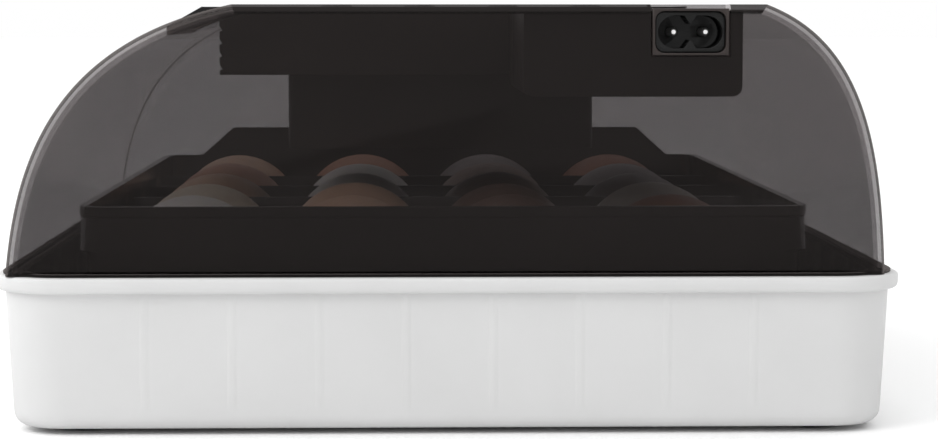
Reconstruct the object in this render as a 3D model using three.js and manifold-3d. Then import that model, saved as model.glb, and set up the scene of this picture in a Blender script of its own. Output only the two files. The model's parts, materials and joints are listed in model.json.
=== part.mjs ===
// A small table-top egg incubator: a white base tub with a black liner, a sliding egg-turning frame,
// twenty eggs, and a smoked dome that lifts off with its control unit, fan, heater and power inlet.
// Millimetres. X is the width, +Y runs from the power-inlet end to the far end, +Z is up,
// and the origin is the centre of the footprint on the surface that the feet stand on.

import * as THREE from 'three';
import { mergeVertices } from 'three/addons/utils/BufferGeometryUtils.js';
import Module from 'manifold-3d';

const wasm = await Module();
wasm.setup();

// ---------------------------------------------------------------- driving dimensions
const WIDTH = 247;              // over the rim
const LENGTH = 310;             // over the rim
const RIM_CORNER = 19.5;        // plan radius of the rim
const FOOT_HEIGHT = 1.5;
const RIM_TOP = 43;             // top of the white rim, where the dome flange rests
const RIM_BAND = 4.5;           // height of the rim band
const TUB_WALL = 2.2;
const TUB_INSET_TOP = 2.7;      // tub side inside the rim, just under the band
const TUB_INSET_FLOOR = 4.8;    // tub side inside the rim, at the floor
const LINER_WALL = 1.6;
const FLOOR_TOP = 17.7;         // top of the egg floor
const DOME_TOP = 115.8;
const DOME_WALL = 1.4;
const DOME_END = 150;           // outer face of the end walls, each way from the centre
const DOME_EDGE = 3;            // rounding where the end walls meet the curved cover
const FLANGE = 1;               // thickness of the dome's flange
const FLANGE_INSET = 2.1;       // flange edge inside the rim's edge
const GAP = 0.3;                // running or assembly gap between separate pieces

const EGG_RADIUS = 22.3;
const EGG_HALF_LENGTH = 26.5;
const EGG_COLUMNS = [-71.9, -26.8, 18.3, 63.4];
const EGG_ROWS = 5;
const EGG_ROW_FIRST = -111.6;
const EGG_ROW_PITCH = 54.9;
const EGG_AXIS_Z = FLOOR_TOP + GAP + EGG_RADIUS;

const FRAME_CENTRE = [-1.2, -2.05];
const FRAME_SIZE = [198.6, 277.3];
const FRAME_TOP = 61.1;
const FRAME_STEP = 49;          // the frame is narrower below this height
const FRAME_WALL = 1.8;
const FRAME_LIP = { z: 58, proud: 0.4 };    // the band along the top of the frame

const GEAR_MODULE = 0.6;
const PINION_TEETH = 14;
const PINION_AXIS_Y = 142.5;
const GEAR_Z = [23, 29];

// The dome's curved cover: a wide shoulder on the -X side and a tight one on the +X side. Each is part of
// a superellipse about x, z, cut off by the rim and by the flat crown.
const LEFT_SHOULDER = { x: 13.4, z: 2.1, reach: 133.8, rise: 118, power: 3.41 };
const RIGHT_SHOULDER = { x: 27, z: 2.1, reach: 91.2, rise: 118.8, power: 4.06 };

const colours = {
  white: new THREE.MeshStandardMaterial({ color: 0xe8e8e6, roughness: 0.45, metalness: 0 }),
  smoked: new THREE.MeshStandardMaterial({ color: 0x3a3838, roughness: 0.08, metalness: 0 }),
  black: new THREE.MeshStandardMaterial({ color: 0x1c1b1b, roughness: 0.4, metalness: 0 }),
  gloss: new THREE.MeshStandardMaterial({ color: 0x151515, roughness: 0.2, metalness: 0 }),
  rubber: new THREE.MeshStandardMaterial({ color: 0x2a2a2a, roughness: 0.9, metalness: 0 }),
  steel: new THREE.MeshStandardMaterial({ color: 0xb8bcc0, roughness: 0.35, metalness: 1 }),
  gear: new THREE.MeshStandardMaterial({ color: 0xe6e2d6, roughness: 0.5, metalness: 0 }),
  board: new THREE.MeshStandardMaterial({ color: 0x1f5a3a, roughness: 0.6, metalness: 0 }),
  key: new THREE.MeshStandardMaterial({ color: 0xd9dcdf, roughness: 0.5, metalness: 0 }),
  lamp: new THREE.MeshStandardMaterial({ color: 0xd8402a, roughness: 0.3, metalness: 0 }),
};
const eggShades = [0xf2efe6, 0xe9dcc4, 0xe3b892, 0xc98a66, 0xb5754f];

// ---------------------------------------------------------------- solids
function closedMesh(geometry) {
  const bare = geometry.index ? geometry.toNonIndexed() : geometry.clone();
  for (const attribute of Object.keys(bare.attributes)) {
    if (attribute !== 'position') bare.deleteAttribute(attribute);
  }
  return mergeVertices(bare, 1e-4);
}

function solid(geometry) {
  const merged = closedMesh(geometry);
  const mesh = new wasm.Mesh({
    numProp: 3,
    vertProperties: new Float32Array(merged.attributes.position.array),
    triVerts: new Uint32Array(merged.index.array),
  });
  return new wasm.Manifold(mesh);
}

function geometryOf(manifold) {
  const mesh = manifold.getMesh();
  const geometry = new THREE.BufferGeometry();
  geometry.setAttribute('position', new THREE.BufferAttribute(mesh.vertProperties, 3));
  geometry.setIndex(new THREE.BufferAttribute(mesh.triVerts, 1));
  geometry.computeVertexNormals();
  return geometry;
}

function unite(solids) {
  return solids.reduce((all, next) => all.add(next));
}

function box(x0, x1, y0, y1, z0, z1) {
  const geometry = new THREE.BoxGeometry(x1 - x0, y1 - y0, z1 - z0);
  geometry.translate((x0 + x1) / 2, (y0 + y1) / 2, (z0 + z1) / 2);
  return solid(geometry);
}

// Upright cylinder from z0 to z1.
function post(x, y, radius, z0, z1, segments = 24) {
  const geometry = new THREE.CylinderGeometry(radius, radius, z1 - z0, segments);
  geometry.rotateX(Math.PI / 2);
  geometry.translate(x, y, (z0 + z1) / 2);
  return solid(geometry);
}

// Points [radius, z] turned about an upright axis at x, y.
function turned(points, x, y, segments = 24) {
  const geometry = new THREE.LatheGeometry(points.map(([r, z]) => new THREE.Vector2(r, z)), segments);
  geometry.rotateX(Math.PI / 2);
  geometry.translate(x, y, 0);
  return solid(geometry);
}

// A flat outline in X and Y, extruded from z0 to z1.
function slab(outline, z0, z1) {
  const shape = new THREE.Shape(outline.map(([x, y]) => new THREE.Vector2(x, y)));
  const geometry = new THREE.ExtrudeGeometry(shape, { depth: z1 - z0, bevelEnabled: false });
  geometry.translate(0, 0, z0);
  return solid(geometry);
}

// An outline in X and Z, extruded along Y from y0 to y1, with an optional rounded edge at both ends.
function prism(outline, y0, y1, edge = 0) {
  const shape = new THREE.Shape(outline.map(([x, z]) => new THREE.Vector2(x, z)));
  const geometry = new THREE.ExtrudeGeometry(shape, {
    depth: y1 - y0 - 2 * edge,
    bevelEnabled: edge > 0,
    bevelThickness: edge,
    bevelSize: edge,
    bevelOffset: -edge,
    bevelSegments: 3,
  });
  geometry.translate(0, 0, edge);
  geometry.rotateX(Math.PI / 2);
  geometry.translate(0, y1, 0);
  return solid(geometry);
}

// Corner points of a rounded rectangle of half-width a and half-length b.
function roundedRectangle(a, b, radius, steps = 5, cx = 0, cy = 0) {
  const points = [];
  const corners = [[a, b, 0], [-a, b, 90], [-a, -b, 180], [a, -b, 270]];
  for (const [x, y, start] of corners) {
    const centreX = x - Math.sign(x) * radius;
    const centreY = y - Math.sign(y) * radius;
    for (let i = 0; i <= steps; i++) {
      const angle = THREE.MathUtils.degToRad(start + 90 * i / steps);
      points.push([cx + centreX + radius * Math.cos(angle), cy + centreY + radius * Math.sin(angle)]);
    }
  }
  return points;
}

// A body whose level sections are rounded rectangles: levels are { z, a, b, r } from one end cap to the other.
function stack(levels, steps = 5, cx = 0, cy = 0) {
  const positions = [];
  const index = [];
  const count = 4 * (steps + 1);
  for (const level of levels) {
    for (const [x, y] of roundedRectangle(level.a, level.b, level.r, steps, cx, cy)) {
      positions.push(x, y, level.z);
    }
  }
  for (let k = 0; k + 1 < levels.length; k++) {
    for (let i = 0; i < count; i++) {
      const j = (i + 1) % count;
      const low = k * count;
      const high = low + count;
      index.push(low + i, low + j, high + j, low + i, high + j, high + i);
    }
  }
  const last = (levels.length - 1) * count;
  for (let i = 1; i + 1 < count; i++) {
    index.push(0, i + 1, i);
    index.push(last, last + i, last + i + 1);
  }
  const geometry = new THREE.BufferGeometry();
  geometry.setAttribute('position', new THREE.Float32BufferAttribute(positions, 3));
  geometry.setIndex(index);
  return solid(geometry);
}

const incubator = new THREE.Group();

function place(parent, name, shape, material) {
  const mesh = new THREE.Mesh(geometryOf(shape), material);
  mesh.name = name;
  parent.add(mesh);
}

// ---------------------------------------------------------------- base
function tubSection(z, inset, wall = 0) {
  const total = inset + wall;
  return { z, a: WIDTH / 2 - total, b: LENGTH / 2 - total, r: Math.max(RIM_CORNER - total, 3) };
}

function tubInset(z) {
  const share = (z - FOOT_HEIGHT) / (RIM_TOP - RIM_BAND - FOOT_HEIGHT);
  return TUB_INSET_FLOOR + (TUB_INSET_TOP - TUB_INSET_FLOOR) * share;
}

// One upright rib: a thin strip that follows the leaning wall, standing RIB_PROUD out of it.
const RIB_WIDTH = 2.2;
const RIB_PROUD = 0.4;
const RIB_ROOT = 1.5;

function rib(halfSize, along) {
  const low = FOOT_HEIGHT + 4.5;
  const high = RIM_TOP - RIM_BAND - 0.5;
  const lowFace = halfSize - tubInset(low);
  const highFace = halfSize - tubInset(high);
  const outline = [
    [lowFace - RIB_ROOT, low], [lowFace + RIB_PROUD, low], [highFace + RIB_PROUD, high],
    [highFace + RIB_PROUD, high + 1], [highFace - RIB_ROOT, high + 1],
  ];
  return prism(outline, along - RIB_WIDTH / 2, along + RIB_WIDTH / 2);
}

function turnAboutZ(shape, degrees) {
  return shape.rotate([0, 0, degrees]);
}

const END_RIBS = { count: 8, pitch: 23.4 };
const SIDE_RIBS = { count: 10, pitch: 25.5 };

function ribs() {
  const all = [];
  for (let i = 0; i < END_RIBS.count; i++) {
    const along = (i - (END_RIBS.count - 1) / 2) * END_RIBS.pitch;
    all.push(turnAboutZ(rib(LENGTH / 2, along), 90));
    all.push(turnAboutZ(rib(LENGTH / 2, along), -90));
  }
  for (let i = 0; i < SIDE_RIBS.count; i++) {
    const along = (i - (SIDE_RIBS.count - 1) / 2) * SIDE_RIBS.pitch;
    all.push(rib(WIDTH / 2, along));
    all.push(turnAboutZ(rib(WIDTH / 2, along), 180));
  }
  return all;
}

function baseTub() {
  const floor = FOOT_HEIGHT;
  const band = RIM_TOP - RIM_BAND;
  const shell = stack([
    tubSection(floor, TUB_INSET_FLOOR + 3.5),
    tubSection(floor + 1.2, TUB_INSET_FLOOR + 1.1),
    tubSection(floor + 4, tubInset(floor + 4)),
    tubSection(band, TUB_INSET_TOP),
    tubSection(band + 0.9, 0.7),
    tubSection(band + 1.8, 0),
    tubSection(RIM_TOP - 0.8, 0),
    tubSection(RIM_TOP, 0.8),
    tubSection(RIM_TOP, TUB_INSET_TOP, TUB_WALL),
    tubSection(floor + 4, tubInset(floor + 4), TUB_WALL),
    tubSection(floor + TUB_WALL, TUB_INSET_FLOOR + 2, TUB_WALL),
  ]);
  return unite([shell, ...ribs()]);
}

const FOOT_AT = [100, 132];

function foot(sx, sy) {
  const profile = [[0, 0], [8, 0], [8.6, 0.5], [8.6, FOOT_HEIGHT], [0, FOOT_HEIGHT]];
  return turned(profile, sx * FOOT_AT[0], sy * FOOT_AT[1], 20);
}

// The liner stands in the tub. Its floor is a pair of water channels, and at the far end it is raised
// over a dry bay that holds the turning motor.
const BAY_START = 116;
const LINER_TOP = RIM_TOP - 0.3;

function linerSection(z, wall) {
  const straight = THREE.MathUtils.clamp(z, FOOT_HEIGHT + 4, RIM_TOP - RIM_BAND);
  return tubSection(z, tubInset(straight) + TUB_WALL + GAP, wall);
}

function innerLiner() {
  const bottom = FOOT_HEIGHT + TUB_WALL + GAP;
  const floor = bottom + LINER_WALL;
  const outer = stack([linerSection(bottom, 3.5), linerSection(bottom + 3.5, 0), linerSection(LINER_TOP, 0)]);
  const cavity = stack([
    linerSection(floor, LINER_WALL + 2),
    linerSection(floor + 3, LINER_WALL),
    linerSection(LINER_TOP + 1, LINER_WALL),
  ]);
  const bay = box(-130, 130, BAY_START, 160, 0, FLOOR_TOP - LINER_WALL);
  const shelf = box(-130, 130, BAY_START - LINER_WALL, 160, 0, FLOOR_TOP);
  const shell = outer.subtract(bay).subtract(cavity.subtract(shelf));
  const ridgeTop = FLOOR_TOP - 2 - GAP;
  const ridges = [-76, 0, 76].map((x) => box(x - 1, x + 1, -140, BAY_START - 1, floor - 1, ridgeTop));
  ridges.push(box(-105, 105, -17, -15, floor - 1, ridgeTop - 6));
  return unite([shell, ...ridges]).subtract(post(0, PINION_AXIS_Y, 3, 0, 30));
}

const GRILLE_HALF_WIDTH = 111.5;

function floorGrille() {
  const [near, far] = [-145, BAY_START - LINER_WALL - GAP];
  const outline = roundedRectangle(GRILLE_HALF_WIDTH, (far - near) / 2, 10, 4, 0, (near + far) / 2);
  const slots = [];
  for (let row = 0; row < 7; row++) {
    for (let column = 0; column < 5; column++) {
      const [x, y] = [(column - 2) * 43, -118 + row * 34];
      slots.push(slab(roundedRectangle(16, 3.5, 2.5, 1, x, y), FLOOR_TOP - 3, FLOOR_TOP + 1));
    }
  }
  return slab(outline, FLOOR_TOP - 2, FLOOR_TOP).subtract(unite(slots));
}

const MOTOR_RADIUS = 12;
const MOTOR_OFFSET = 8;         // from the motor's centre to its shaft
const MOTOR_HEIGHT = 12;
const MOTOR_EAR = 15.5;

function turnerMotor() {
  const y = PINION_AXIS_Y - MOTOR_OFFSET;
  const top = FLOOR_TOP - LINER_WALL - 0.1;
  const can = turned([
    [0, top - MOTOR_HEIGHT], [MOTOR_RADIUS - 0.8, top - MOTOR_HEIGHT], [MOTOR_RADIUS, top - MOTOR_HEIGHT + 0.8],
    [MOTOR_RADIUS, top], [0, top],
  ], 0, y, 28);
  const ears = box(-MOTOR_EAR - 3.5, MOTOR_EAR + 3.5, y - 3.5, y + 3.5, top - 1, top);
  const holes = [-1, 1].map((side) => post(side * MOTOR_EAR, y, 1.7, top - 3, top + 1, 12));
  const collar = post(0, PINION_AXIS_Y, 2.7, top - 1, top + LINER_WALL + 0.4, 20);
  const shaft = post(0, PINION_AXIS_Y, 2, top, GEAR_Z[1] + 1, 20);
  return unite([can, ears, collar, shaft]).subtract(unite(holes));
}

function motorScrew(side) {
  const y = PINION_AXIS_Y - MOTOR_OFFSET;
  const seat = FLOOR_TOP - LINER_WALL - 1.2;
  const profile = [
    [0, seat - 1.8], [2.6, seat - 1.6], [2.8, seat], [1.4, seat], [1.4, seat + 1], [0, seat + 1],
  ];
  return turned(profile, side * MOTOR_EAR, y, 16);
}

// ---------------------------------------------------------------- egg turning
const PITCH_RADIUS = GEAR_MODULE * PINION_TEETH / 2;
const ADDENDUM = 0.8 * GEAR_MODULE;
const DEDENDUM = 1.0 * GEAR_MODULE;
const BACKLASH = 0.2;
const PRESSURE_ANGLE = THREE.MathUtils.degToRad(20);
const RACK_PITCH_LINE = PINION_AXIS_Y - PITCH_RADIUS;

function involute(angle) {
  return Math.tan(angle) - angle;
}

// Half of a pinion tooth's angle at a given radius, measured from the tooth's centre line.
function halfToothAngle(radius) {
  const baseRadius = PITCH_RADIUS * Math.cos(PRESSURE_ANGLE);
  const local = radius > baseRadius ? Math.acos(baseRadius / radius) : 0;
  const atPitch = Math.PI / (2 * PINION_TEETH) - BACKLASH / 4 / PITCH_RADIUS;
  return atPitch + involute(PRESSURE_ANGLE) - involute(local);
}

function turnerPinion() {
  const outline = [];
  const radii = [PITCH_RADIUS - DEDENDUM, PITCH_RADIUS - 0.2, PITCH_RADIUS + 0.1, PITCH_RADIUS + ADDENDUM];
  for (let tooth = 0; tooth < PINION_TEETH; tooth++) {
    const centre = -Math.PI / 2 + tooth * 2 * Math.PI / PINION_TEETH;
    const rising = radii.map((r) => [r, centre - halfToothAngle(r)]);
    const falling = radii.map((r) => [r, centre + halfToothAngle(r)]).reverse();
    for (const [r, angle] of [...rising, ...falling]) {
      outline.push([r * Math.cos(angle), PINION_AXIS_Y + r * Math.sin(angle)]);
    }
  }
  const teeth = slab(outline, GEAR_Z[0], GEAR_Z[1]);
  const boss = post(0, PINION_AXIS_Y, 3, GEAR_Z[0] - 0.7, GEAR_Z[1], 20);
  return teeth.add(boss).subtract(post(0, PINION_AXIS_Y, 2.15, 0, 60, 20));
}

function turnerRack() {
  const pitch = Math.PI * GEAR_MODULE;
  const back = FRAME_CENTRE[1] + FRAME_SIZE[1] / 2 + 0.05;
  const lean = Math.tan(PRESSURE_ANGLE);
  const tip = RACK_PITCH_LINE + ADDENDUM;
  const root = RACK_PITCH_LINE - DEDENDUM;
  const halfAtPitch = pitch / 4 - BACKLASH / 4;
  const first = -10;
  const last = 8;
  const outline = [[(last + 1) * pitch, back], [(last + 1) * pitch, root]];
  for (let tooth = last; tooth >= first; tooth--) {
    const centre = (tooth + 0.5) * pitch;
    outline.push([centre + halfAtPitch + DEDENDUM * lean, root]);
    outline.push([centre + halfAtPitch - ADDENDUM * lean, tip]);
    outline.push([centre - halfAtPitch + ADDENDUM * lean, tip]);
    outline.push([centre - halfAtPitch - DEDENDUM * lean, root]);
  }
  outline.push([first * pitch, root], [first * pitch, back]);
  return slab(outline.reverse(), GEAR_Z[0], GEAR_Z[1]);
}

const FRAME_BOTTOM = FLOOR_TOP + 0.6;
const FAR_HUMP = { low: 87, high: 75.5, top: 71.4 };

const FRAME_INSET = 1.9;        // side walls below the step, inside those above it
const FRAME_CORNER = { low: 5, high: 8 };

function eggFrame() {
  const [a, b] = [FRAME_SIZE[0] / 2, FRAME_SIZE[1] / 2];
  const { low, high } = FRAME_CORNER;
  const { z: lip, proud } = FRAME_LIP;
  const outer = stack([
    { z: FRAME_BOTTOM, a: a - FRAME_INSET, b, r: low },
    { z: FRAME_STEP - 0.4, a: a - FRAME_INSET, b, r: low },
    { z: FRAME_STEP, a, b, r: low },
    { z: lip, a, b, r: high },
    { z: lip + proud, a: a + proud, b: b + proud, r: high },
    { z: FRAME_TOP, a: a + proud, b: b + proud, r: high },
  ], 5, ...FRAME_CENTRE);
  const cavity = stack([
    { z: FRAME_BOTTOM - 1, a: a - FRAME_INSET - FRAME_WALL, b: b - FRAME_WALL, r: low - FRAME_WALL },
    { z: FRAME_STEP, a: a - FRAME_INSET - FRAME_WALL, b: b - FRAME_WALL, r: low - FRAME_WALL },
    { z: FRAME_STEP + 1, a: a - FRAME_WALL, b: b - FRAME_WALL, r: low - FRAME_WALL },
    { z: FRAME_TOP + 1, a: a - FRAME_WALL, b: b - FRAME_WALL, r: high - FRAME_WALL },
  ], 5, ...FRAME_CENTRE);
  const farFace = FRAME_CENTRE[1] + b;
  const hump = prism([
    [-FAR_HUMP.low, FRAME_TOP - 4], [FAR_HUMP.low, FRAME_TOP - 4], [FAR_HUMP.low, FRAME_TOP],
    [FAR_HUMP.high, FAR_HUMP.top], [-FAR_HUMP.high, FAR_HUMP.top], [-FAR_HUMP.low, FRAME_TOP],
  ], farFace - FRAME_WALL, farFace);
  return outer.subtract(cavity).add(hump);
}

function rowCentre(row) {
  return EGG_ROW_FIRST + row * EGG_ROW_PITCH;
}

// Cross walls between the rows of eggs, joined by low rails that push the eggs just above their middles.
const CROSS_WALL = { half: 0.6, top: 56.3 };
const RAIL = { half: 1.2, z: [48.9, 52.5] };

function dividerGrid() {
  const a = FRAME_SIZE[0] / 2 - FRAME_INSET - FRAME_WALL - GAP;
  const b = FRAME_SIZE[1] / 2 - FRAME_WALL - GAP;
  const low = FRAME_BOTTOM + 2;
  const [cx, cy] = FRAME_CENTRE;
  const bars = [];
  for (let column = 0; column + 1 < EGG_COLUMNS.length; column++) {
    const x = (EGG_COLUMNS[column] + EGG_COLUMNS[column + 1]) / 2;
    bars.push(box(x - RAIL.half, x + RAIL.half, cy - b, cy + b, ...RAIL.z));
  }
  for (let row = 0; row + 1 < EGG_ROWS; row++) {
    const y = rowCentre(row) + EGG_ROW_PITCH / 2;
    bars.push(box(cx - a, cx + a, y - CROSS_WALL.half, y + CROSS_WALL.half, low, CROSS_WALL.top));
  }
  return unite(bars);
}

// A hen's egg lying along Y, blunt end towards +Y.
function eggSolid(x, y) {
  const profile = [];
  const steps = 9;
  for (let i = 0; i <= steps; i++) {
    const t = Math.PI * i / steps;
    const widest = 1.006;
    const radius = EGG_RADIUS * Math.sin(t) * (1 - 0.11 * Math.cos(t) * Math.sin(t)) / widest;
    profile.push(new THREE.Vector2(Math.max(radius, 0), -EGG_HALF_LENGTH * Math.cos(t)));
  }
  profile[0].x = 0;
  profile[steps].x = 0;
  const geometry = new THREE.LatheGeometry(profile, 12);
  geometry.translate(x, y, EGG_AXIS_Z);
  return solid(geometry);
}

// ---------------------------------------------------------------- dome
// Points on a shoulder curve from the rim up to the crown, moved in by inset.
function shoulder({ x, z, reach, rise, power }, side, inset) {
  const steps = 13;
  const a = reach - inset;
  const b = rise - inset;
  const start = Math.asin(((RIM_TOP - z) / b) ** (power / 2));
  const end = Math.asin(((DOME_TOP - inset - z) / b) ** (power / 2));
  const points = [];
  for (let i = 0; i <= steps; i++) {
    const t = start + (end - start) * i / steps;
    points.push([x + side * a * Math.cos(t) ** (2 / power), z + b * Math.sin(t) ** (2 / power)]);
  }
  return points;
}

// The dome's section in X and Z, moved in by inset and carried straight down below the rim.
function domeOutline(inset) {
  const low = RIM_TOP - 8;
  const left = shoulder(LEFT_SHOULDER, -1, inset);
  const right = shoulder(RIGHT_SHOULDER, 1, inset);
  return [[right[0][0], low], ...right, ...left.reverse(), [left.at(-1)[0], low]];
}

const PANEL_OPENING = { x: [-76, 74.3], y: [-50.3, 50.3] };
const INLET_NOTCH = { x: [53.9, 75.3], z: 101.7, depth: 12 };

function domeCover() {
  const outer = prism(domeOutline(0), -DOME_END, DOME_END, DOME_EDGE);
  const inner = prism(domeOutline(DOME_WALL), -DOME_END + DOME_WALL, DOME_END - DOME_WALL, DOME_EDGE - 1);
  const below = box(-200, 200, -200, 200, 0, RIM_TOP);
  const shell = outer.subtract(inner).subtract(below);
  const flange = stack([tubSection(RIM_TOP, FLANGE_INSET), tubSection(RIM_TOP + FLANGE, FLANGE_INSET)]);
  const throat = stack([tubSection(RIM_TOP - 1, 7), tubSection(RIM_TOP + FLANGE + 1, 7)]);
  const panelHole = box(...PANEL_OPENING.x, ...PANEL_OPENING.y, 100, 130);
  const notch = box(...INLET_NOTCH.x, -DOME_END - 2, -DOME_END + INLET_NOTCH.depth, INLET_NOTCH.z, 130);
  return shell.add(flange.subtract(throat)).subtract(panelHole).subtract(notch);
}

// ---------------------------------------------------------------- control unit
const PANEL_TOP = 115.6;
const PANEL_UNDER = DOME_TOP - DOME_WALL;
const PANEL = { left: -84, chamfer: -73.4, right: 74, y: [-50, 50] };
const UNIT = { x: 67.7, y: 55, bottom: 95 };
const WINDOW = { x: [-30, 22], y: [-2, 24] };
const KEYS = [-33, -7, 19, 45].map((x, i) => ({ name: ['turn_key', 'down_key', 'up_key', 'set_key'][i], x }));
const KEY_Y = -26;
const KEY_RADIUS = 5;
const LAMPS = [-18, -4, 10].map((x, i) => ({ name: ['power_lamp', 'heat_lamp', 'turn_lamp'][i], x }));
const LAMP_Y = 35;

function controlPanel() {
  const body = prism([
    [PANEL.left, 100], [PANEL.right, 100], [PANEL.right, PANEL_TOP], [PANEL.chamfer, PANEL_TOP],
    [PANEL.left, 109.6],
  ], ...PANEL.y);
  const skin = prism(domeOutline(-GAP), -DOME_END, DOME_END);
  const underSkirt = skin.subtract(box(PANEL_OPENING.x[0] + GAP, 200, -200, 200, 0, 200));
  const inside = prism(domeOutline(DOME_WALL), -DOME_END, DOME_END);
  const trimmed = body.subtract(underSkirt).subtract(inside);
  const windowHole = box(...WINDOW.x, ...WINDOW.y, 100, 130);
  const keyHoles = KEYS.map((key) => post(key.x, KEY_Y, KEY_RADIUS + GAP, 100, 130));
  const lampHoles = LAMPS.map((lamp) => post(lamp.x, LAMP_Y, 2 + 0.1, 100, 130, 16));
  return trimmed.subtract(unite([windowHole, ...keyHoles, ...lampHoles]));
}

function displayWindow() {
  const gap = 0.15;
  const [x0, x1] = WINDOW.x;
  const [y0, y1] = WINDOW.y;
  return box(x0 + gap, x1 - gap, y0 + gap, y1 - gap, PANEL_TOP - 1.7, PANEL_TOP - 0.1);
}

const BOARD_TOP = 104;

function displayModule() {
  const margin = 3;
  const [x0, x1] = WINDOW.x;
  const [y0, y1] = WINDOW.y;
  return box(x0 + margin, x1 - margin, y0 + margin, y1 - margin, BOARD_TOP + 0.1, PANEL_TOP - 2);
}

// A key with a collar under the panel, standing on its switch.
const KEY_TRAVEL = 0.8;

function key(x) {
  const under = PANEL_UNDER - 0.1;
  const profile = [
    [0, under - 2], [KEY_RADIUS + 1.2, under - 2], [KEY_RADIUS + 1.2, under], [KEY_RADIUS, under],
    [KEY_RADIUS, PANEL_TOP + 0.1], [KEY_RADIUS - 0.6, PANEL_TOP + 0.6], [0, PANEL_TOP + 0.7],
  ];
  return turned(profile, x, KEY_Y, 24);
}

function lamp(x) {
  const profile = [[0, BOARD_TOP + 0.1], [2, BOARD_TOP + 0.1], [2, PANEL_TOP], [0, PANEL_TOP + 0.3]];
  return turned(profile, x, LAMP_Y, 16);
}

function mainBoard() {
  const plate = box(-62, 62, -46, 46, BOARD_TOP - 1.6, BOARD_TOP);
  const switches = KEYS.map((k) => {
    return box(k.x - 3, k.x + 3, KEY_Y - 3, KEY_Y + 3, BOARD_TOP - 0.5, BOARD_TOP + 3.5);
  });
  const plungers = KEYS.map((k) => {
    return post(k.x, KEY_Y, 1.7, BOARD_TOP + 3, PANEL_UNDER - 2.1 - KEY_TRAVEL - GAP, 12);
  });
  const relay = box(30, 49, 10, 26, BOARD_TOP - 0.5, BOARD_TOP + 6);
  return unite([plate, ...switches, ...plungers, relay]);
}

const NECK = { x: [-47.6, 46.4], y: 40, bottom: 72 };
const NECK_MOUTH = { x: [-42, 41], y: 35 };
const POSTS = [[-58, -48], [58, -48], [-58, 48], [58, 48]];
const LOUVRES = { count: 4, first: 96.6, pitch: 3.9, depth: 0.9 };

function controlHousing() {
  const wall = 2;
  const outline = [[-UNIT.x, UNIT.bottom], [UNIT.x, UNIT.bottom], [UNIT.x, 130], [-UNIT.x, 130]];
  const outer = prism(outline, -UNIT.y, UNIT.y);
  const cavity = box(-UNIT.x + wall, UNIT.x - wall, -UNIT.y + wall, UNIT.y - wall, UNIT.bottom + wall, 140);
  const under = prism(domeOutline(DOME_WALL + GAP), -120, 120);
  const below = box(-200, 200, -60, 60, 0, PANEL_UNDER - 0.1);
  const mouth = box(...NECK_MOUTH.x, -NECK_MOUTH.y, NECK_MOUTH.y, UNIT.bottom - 1, UNIT.bottom + wall + 1);
  const louvres = [];
  for (let i = 0; i < LOUVRES.count; i++) {
    const z = LOUVRES.first + i * LOUVRES.pitch;
    const notch = [[-UNIT.x - 1, z], [-UNIT.x + LOUVRES.depth, z], [-UNIT.x - 1, z + LOUVRES.pitch * 0.8]];
    louvres.push(prism(notch, -UNIT.y - 1, UNIT.y + 1));
  }
  const posts = POSTS.map(([x, y]) => post(x, y, 4.5, UNIT.bottom + 1, BOARD_TOP - 1.7, 16));
  const counterbores = POSTS.map(([x, y]) => post(x, y, 3.2, UNIT.bottom - 1, UNIT.bottom + 2.2, 16));
  const shell = outer.subtract(cavity).intersect(under).intersect(below);
  return unite([shell.subtract(unite([mouth, ...louvres])), ...posts]).subtract(unite(counterbores));
}

// ---------------------------------------------------------------- power inlet
const POWER = { x: [20, 79], y: [-146.6, -UNIT.y - GAP], bottom: 91, top: 114.1 };
const NOSE = { x: [54.3, 74.9], y: -149.8, z: [102.2, 114.7] };
const INLET = { x: 64.6, z: 108.4, halfWidth: 9.3, halfHeight: 5.4, depth: 14, front: -148.6 };
const PIN_SPACING = 8.6;
const SOCKET = { lobe: 4.4, depth: 11.5, wedge: 1.7, wedgeDepth: 2.3 };

function outlineAround(halfWidth, halfHeight, radius, steps = 4) {
  return roundedRectangle(halfWidth, halfHeight, radius, steps, INLET.x, INLET.z);
}

function powerBox() {
  const [x0, x1] = POWER.x;
  const [y0, y1] = POWER.y;
  const wall = 2;
  const midX = (x0 + x1) / 2;
  const midZ = (POWER.bottom + 130) / 2;
  const outline = roundedRectangle((x1 - x0) / 2, (130 - POWER.bottom) / 2, 2.6, 3, midX, midZ);
  const body = prism(outline, y0, y1).intersect(box(0, 100, -200, 0, 0, POWER.top));
  const cavity = box(x0 + wall, x1 - wall, y0 + wall, y1 - wall, POWER.bottom + wall, POWER.top - 1.8);
  const nose = box(...NOSE.x, NOSE.y, NOSE.y + 10, ...NOSE.z);
  const seatEnd = INLET.front + INLET.depth + GAP;
  const seat = prism(outlineAround(INLET.halfWidth + 0.2, INLET.halfHeight + 0.2, 2.4), -160, seatEnd);
  const wireHole = box(30, 50, y1 - 4, y1 + 4, 97, 105);
  return body.subtract(cavity).add(nose).subtract(seat).subtract(wireHole);
}

// The socket of a two-pole appliance inlet: a slot with round ends, pinched at the middle by two wedges.
function inletSocket() {
  const { lobe, wedge, wedgeDepth } = SOCKET;
  const front = INLET.front - 1;
  const bottom = INLET.front + SOCKET.depth;
  const slot = prism(outlineAround(PIN_SPACING / 2 + lobe, lobe, lobe - 0.01, 7), front, bottom);
  const past = 0.5;
  const reach = wedge * (wedgeDepth + past) / wedgeDepth;
  const wedges = [-1, 1].map((side) => prism([
    [INLET.x - reach, INLET.z + side * (lobe + past)],
    [INLET.x, INLET.z + side * (lobe - wedgeDepth)],
    [INLET.x + reach, INLET.z + side * (lobe + past)],
  ], front - 1, bottom + 1));
  return slot.subtract(wedges[0]).subtract(wedges[1]);
}

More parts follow.
